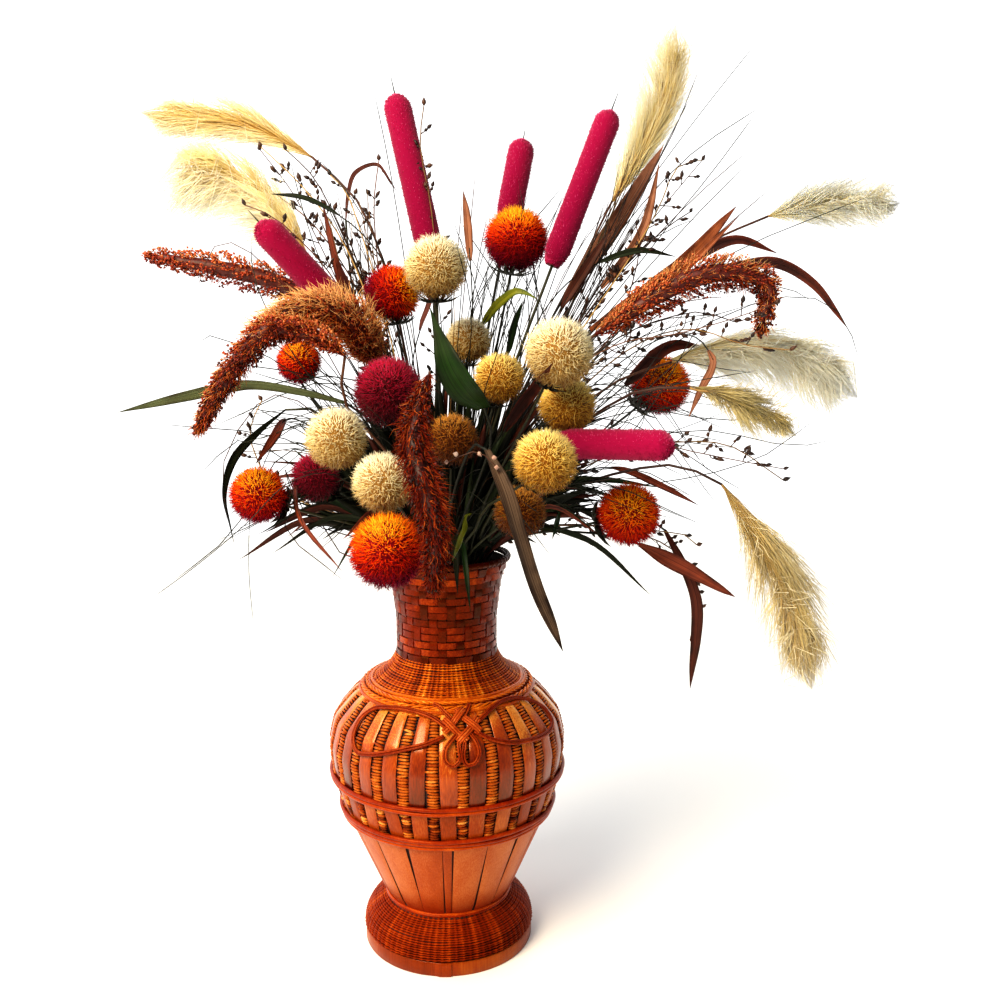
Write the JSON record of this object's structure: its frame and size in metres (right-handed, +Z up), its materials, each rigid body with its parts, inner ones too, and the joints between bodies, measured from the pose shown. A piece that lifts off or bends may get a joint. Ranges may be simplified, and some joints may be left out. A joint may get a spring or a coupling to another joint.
{
  "type": "vase of dried grass",
  "caption": "Woven bamboo vase with cane bands and a cane knot, holding pampas plumes, cattails, thistle heads, sorghum and leaves.",
  "frame": {"origin": "centre of the vase's flat underside", "axes": "+Z up along the vase's axis; the front, with the cane knot, faces -Y; +X is to the right seen from the front"},
  "size_m": [0.894, 0.4514, 1.067],
  "materials": {
    "bamboo": "amber lacquered split bamboo, glossy",
    "cane": "dark lacquered round cane, glossy",
    "cream_thistle": "dry bristles, matt",
    "golden_thistle": "dry bristles, matt",
    "orange_thistle": "dyed bristles, matt",
    "maroon_thistle": "dyed bristles, matt",
    "cattail": "dyed velvety spike, matt",
    "pampas": "silky straw plume, soft sheen",
    "sorghum": "dry grain head, matt",
    "leaf": "dry leaf, faint satin",
    "twig": "thin dry twig, matt",
    "grass": "dry dyed grass stalk, satin"
  },
  "bodies": {
    "root": {"vase_body": "bamboo", "base_hoop": "bamboo", "waist_ring": "cane", "lower_band": "cane", "upper_band": "cane", "shoulder_ring": "cane", "mouth_rim": "cane", "cane_knot": "cane", "cream_thistle_1": "cream_thistle", "cream_thistle_2": "cream_thistle", "cream_thistle_3": "cream_thistle", "cream_thistle_4": "cream_thistle", "golden_thistle_1": "golden_thistle", "golden_thistle_2": "golden_thistle", "golden_thistle_3": "golden_thistle", "golden_thistle_4": "golden_thistle", "golden_thistle_5": "golden_thistle", "golden_thistle_6": "golden_thistle", "orange_thistle_1": "orange_thistle", "orange_thistle_2": "orange_thistle", "orange_thistle_3": "orange_thistle", "orange_thistle_4": "orange_thistle", "orange_thistle_5": "orange_thistle", "orange_thistle_6": "orange_thistle", "maroon_thistle_1": "maroon_thistle", "maroon_thistle_2": "maroon_thistle", "cattail_1": "cattail", "cattail_2": "cattail", "cattail_3": "cattail", "cattail_4": "cattail", "cattail_5": "cattail", "pampas_plume_1": "pampas", "pampas_plume_2": "pampas", "pampas_plume_3": "pampas", "pampas_plume_4": "pampas", "pampas_plume_5": "pampas", "pampas_plume_6": "pampas", "pampas_plume_7": "pampas", "sorghum_1": "sorghum", "sorghum_2": "sorghum", "sorghum_3": "sorghum", "sorghum_4": "sorghum", "sorghum_5": "sorghum", "leaf_1": "leaf", "leaf_2": "leaf", "leaf_3": "leaf", "leaf_4": "leaf", "leaf_5": "leaf", "leaf_6": "leaf", "leaf_7": "leaf", "leaf_8": "leaf", "leaf_9": "leaf", "leaf_10": "leaf", "twig_1": "twig", "twig_2": "twig", "twig_3": "twig", "twig_4": "twig", "grass_stalk_1": "grass", "grass_stalk_2": "grass", "grass_stalk_3": "grass"}
  },
  "joints": []
}
